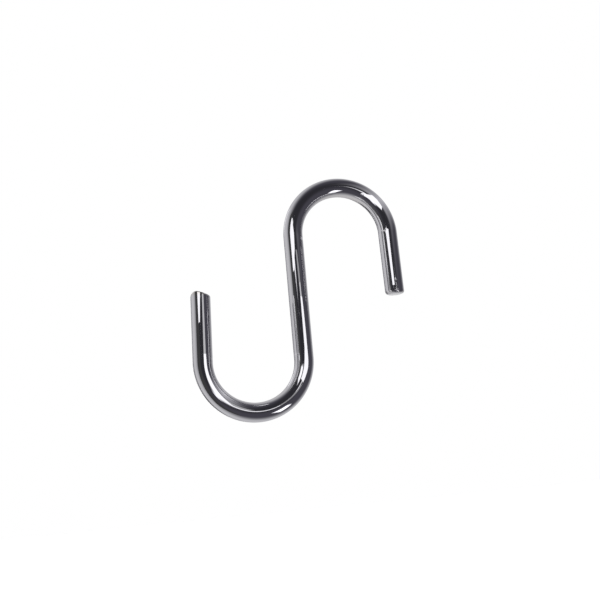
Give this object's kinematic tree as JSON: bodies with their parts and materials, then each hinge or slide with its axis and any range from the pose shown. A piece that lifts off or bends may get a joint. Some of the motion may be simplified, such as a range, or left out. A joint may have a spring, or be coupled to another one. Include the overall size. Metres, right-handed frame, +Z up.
{
  "type": "meat hook",
  "caption": "S-shaped meat hook bent from round bar: its upper bow hangs over a rail and its open lower bow carries the load, with blunt sheared leg ends.",
  "frame": {"origin": "centre of the upper bow, on the axis of the rail that the hook hangs on", "axes": "+Z up along the shank, +Y along the rail, +X from the shank towards the upper leg"},
  "size_m": [0.0683, 0.006, 0.075],
  "materials": {
    "chrome_bar": "bright polished plate with fine handling scratches and a few dings"
  },
  "bodies": {
    "root": {"hook": "chrome_bar"}
  },
  "joints": []
}
